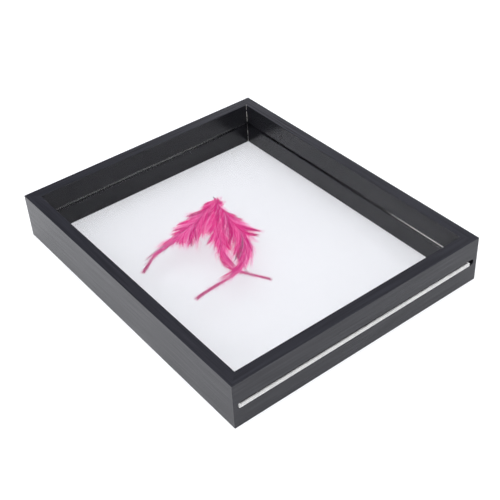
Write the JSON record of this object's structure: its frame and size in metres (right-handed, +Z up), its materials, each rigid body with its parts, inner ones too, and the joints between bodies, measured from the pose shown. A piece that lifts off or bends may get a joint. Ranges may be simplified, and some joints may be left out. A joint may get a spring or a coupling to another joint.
{
  "type": "display case",
  "caption": "Shallow black wooden display case: a mitred frame with a slot in one end, and clear sliding panes that hold dyed feathers flat and visible from both sides.",
  "frame": {"origin": "middle of the underside, on the surface that the case lies on", "axes": "+X along the slotted rail, +Y from the slotted rail to the closed end, +Z up through the panes"},
  "size_m": [0.2, 0.242, 0.0345],
  "materials": {
    "black_paint": "satin",
    "clear_acrylic": "gloss",
    "nail_steel": "satin",
    "dyed_feather": "matte"
  },
  "bodies": {
    "frame": {"rail_front": "black_paint", "rail_back": "black_paint", "rail_left": "black_paint", "rail_right": "black_paint", "corner_nails": "nail_steel"},
    "lower_pane": {"lower_pane": "clear_acrylic", "feather_left": "dyed_feather", "feather_middle": "dyed_feather", "feather_right": "dyed_feather"},
    "upper_pane": {"upper_pane": "clear_acrylic"}
  },
  "joints": [
    {"name": "lower_pane_slide", "type": "slide", "parent": "frame", "child": "lower_pane", "axis": [0, -1, 0], "range_m": [0, 0.24]},
    {"name": "upper_pane_slide", "type": "slide", "parent": "frame", "child": "upper_pane", "axis": [0, -1, 0], "range_m": [0, 0.24]}
  ]
}
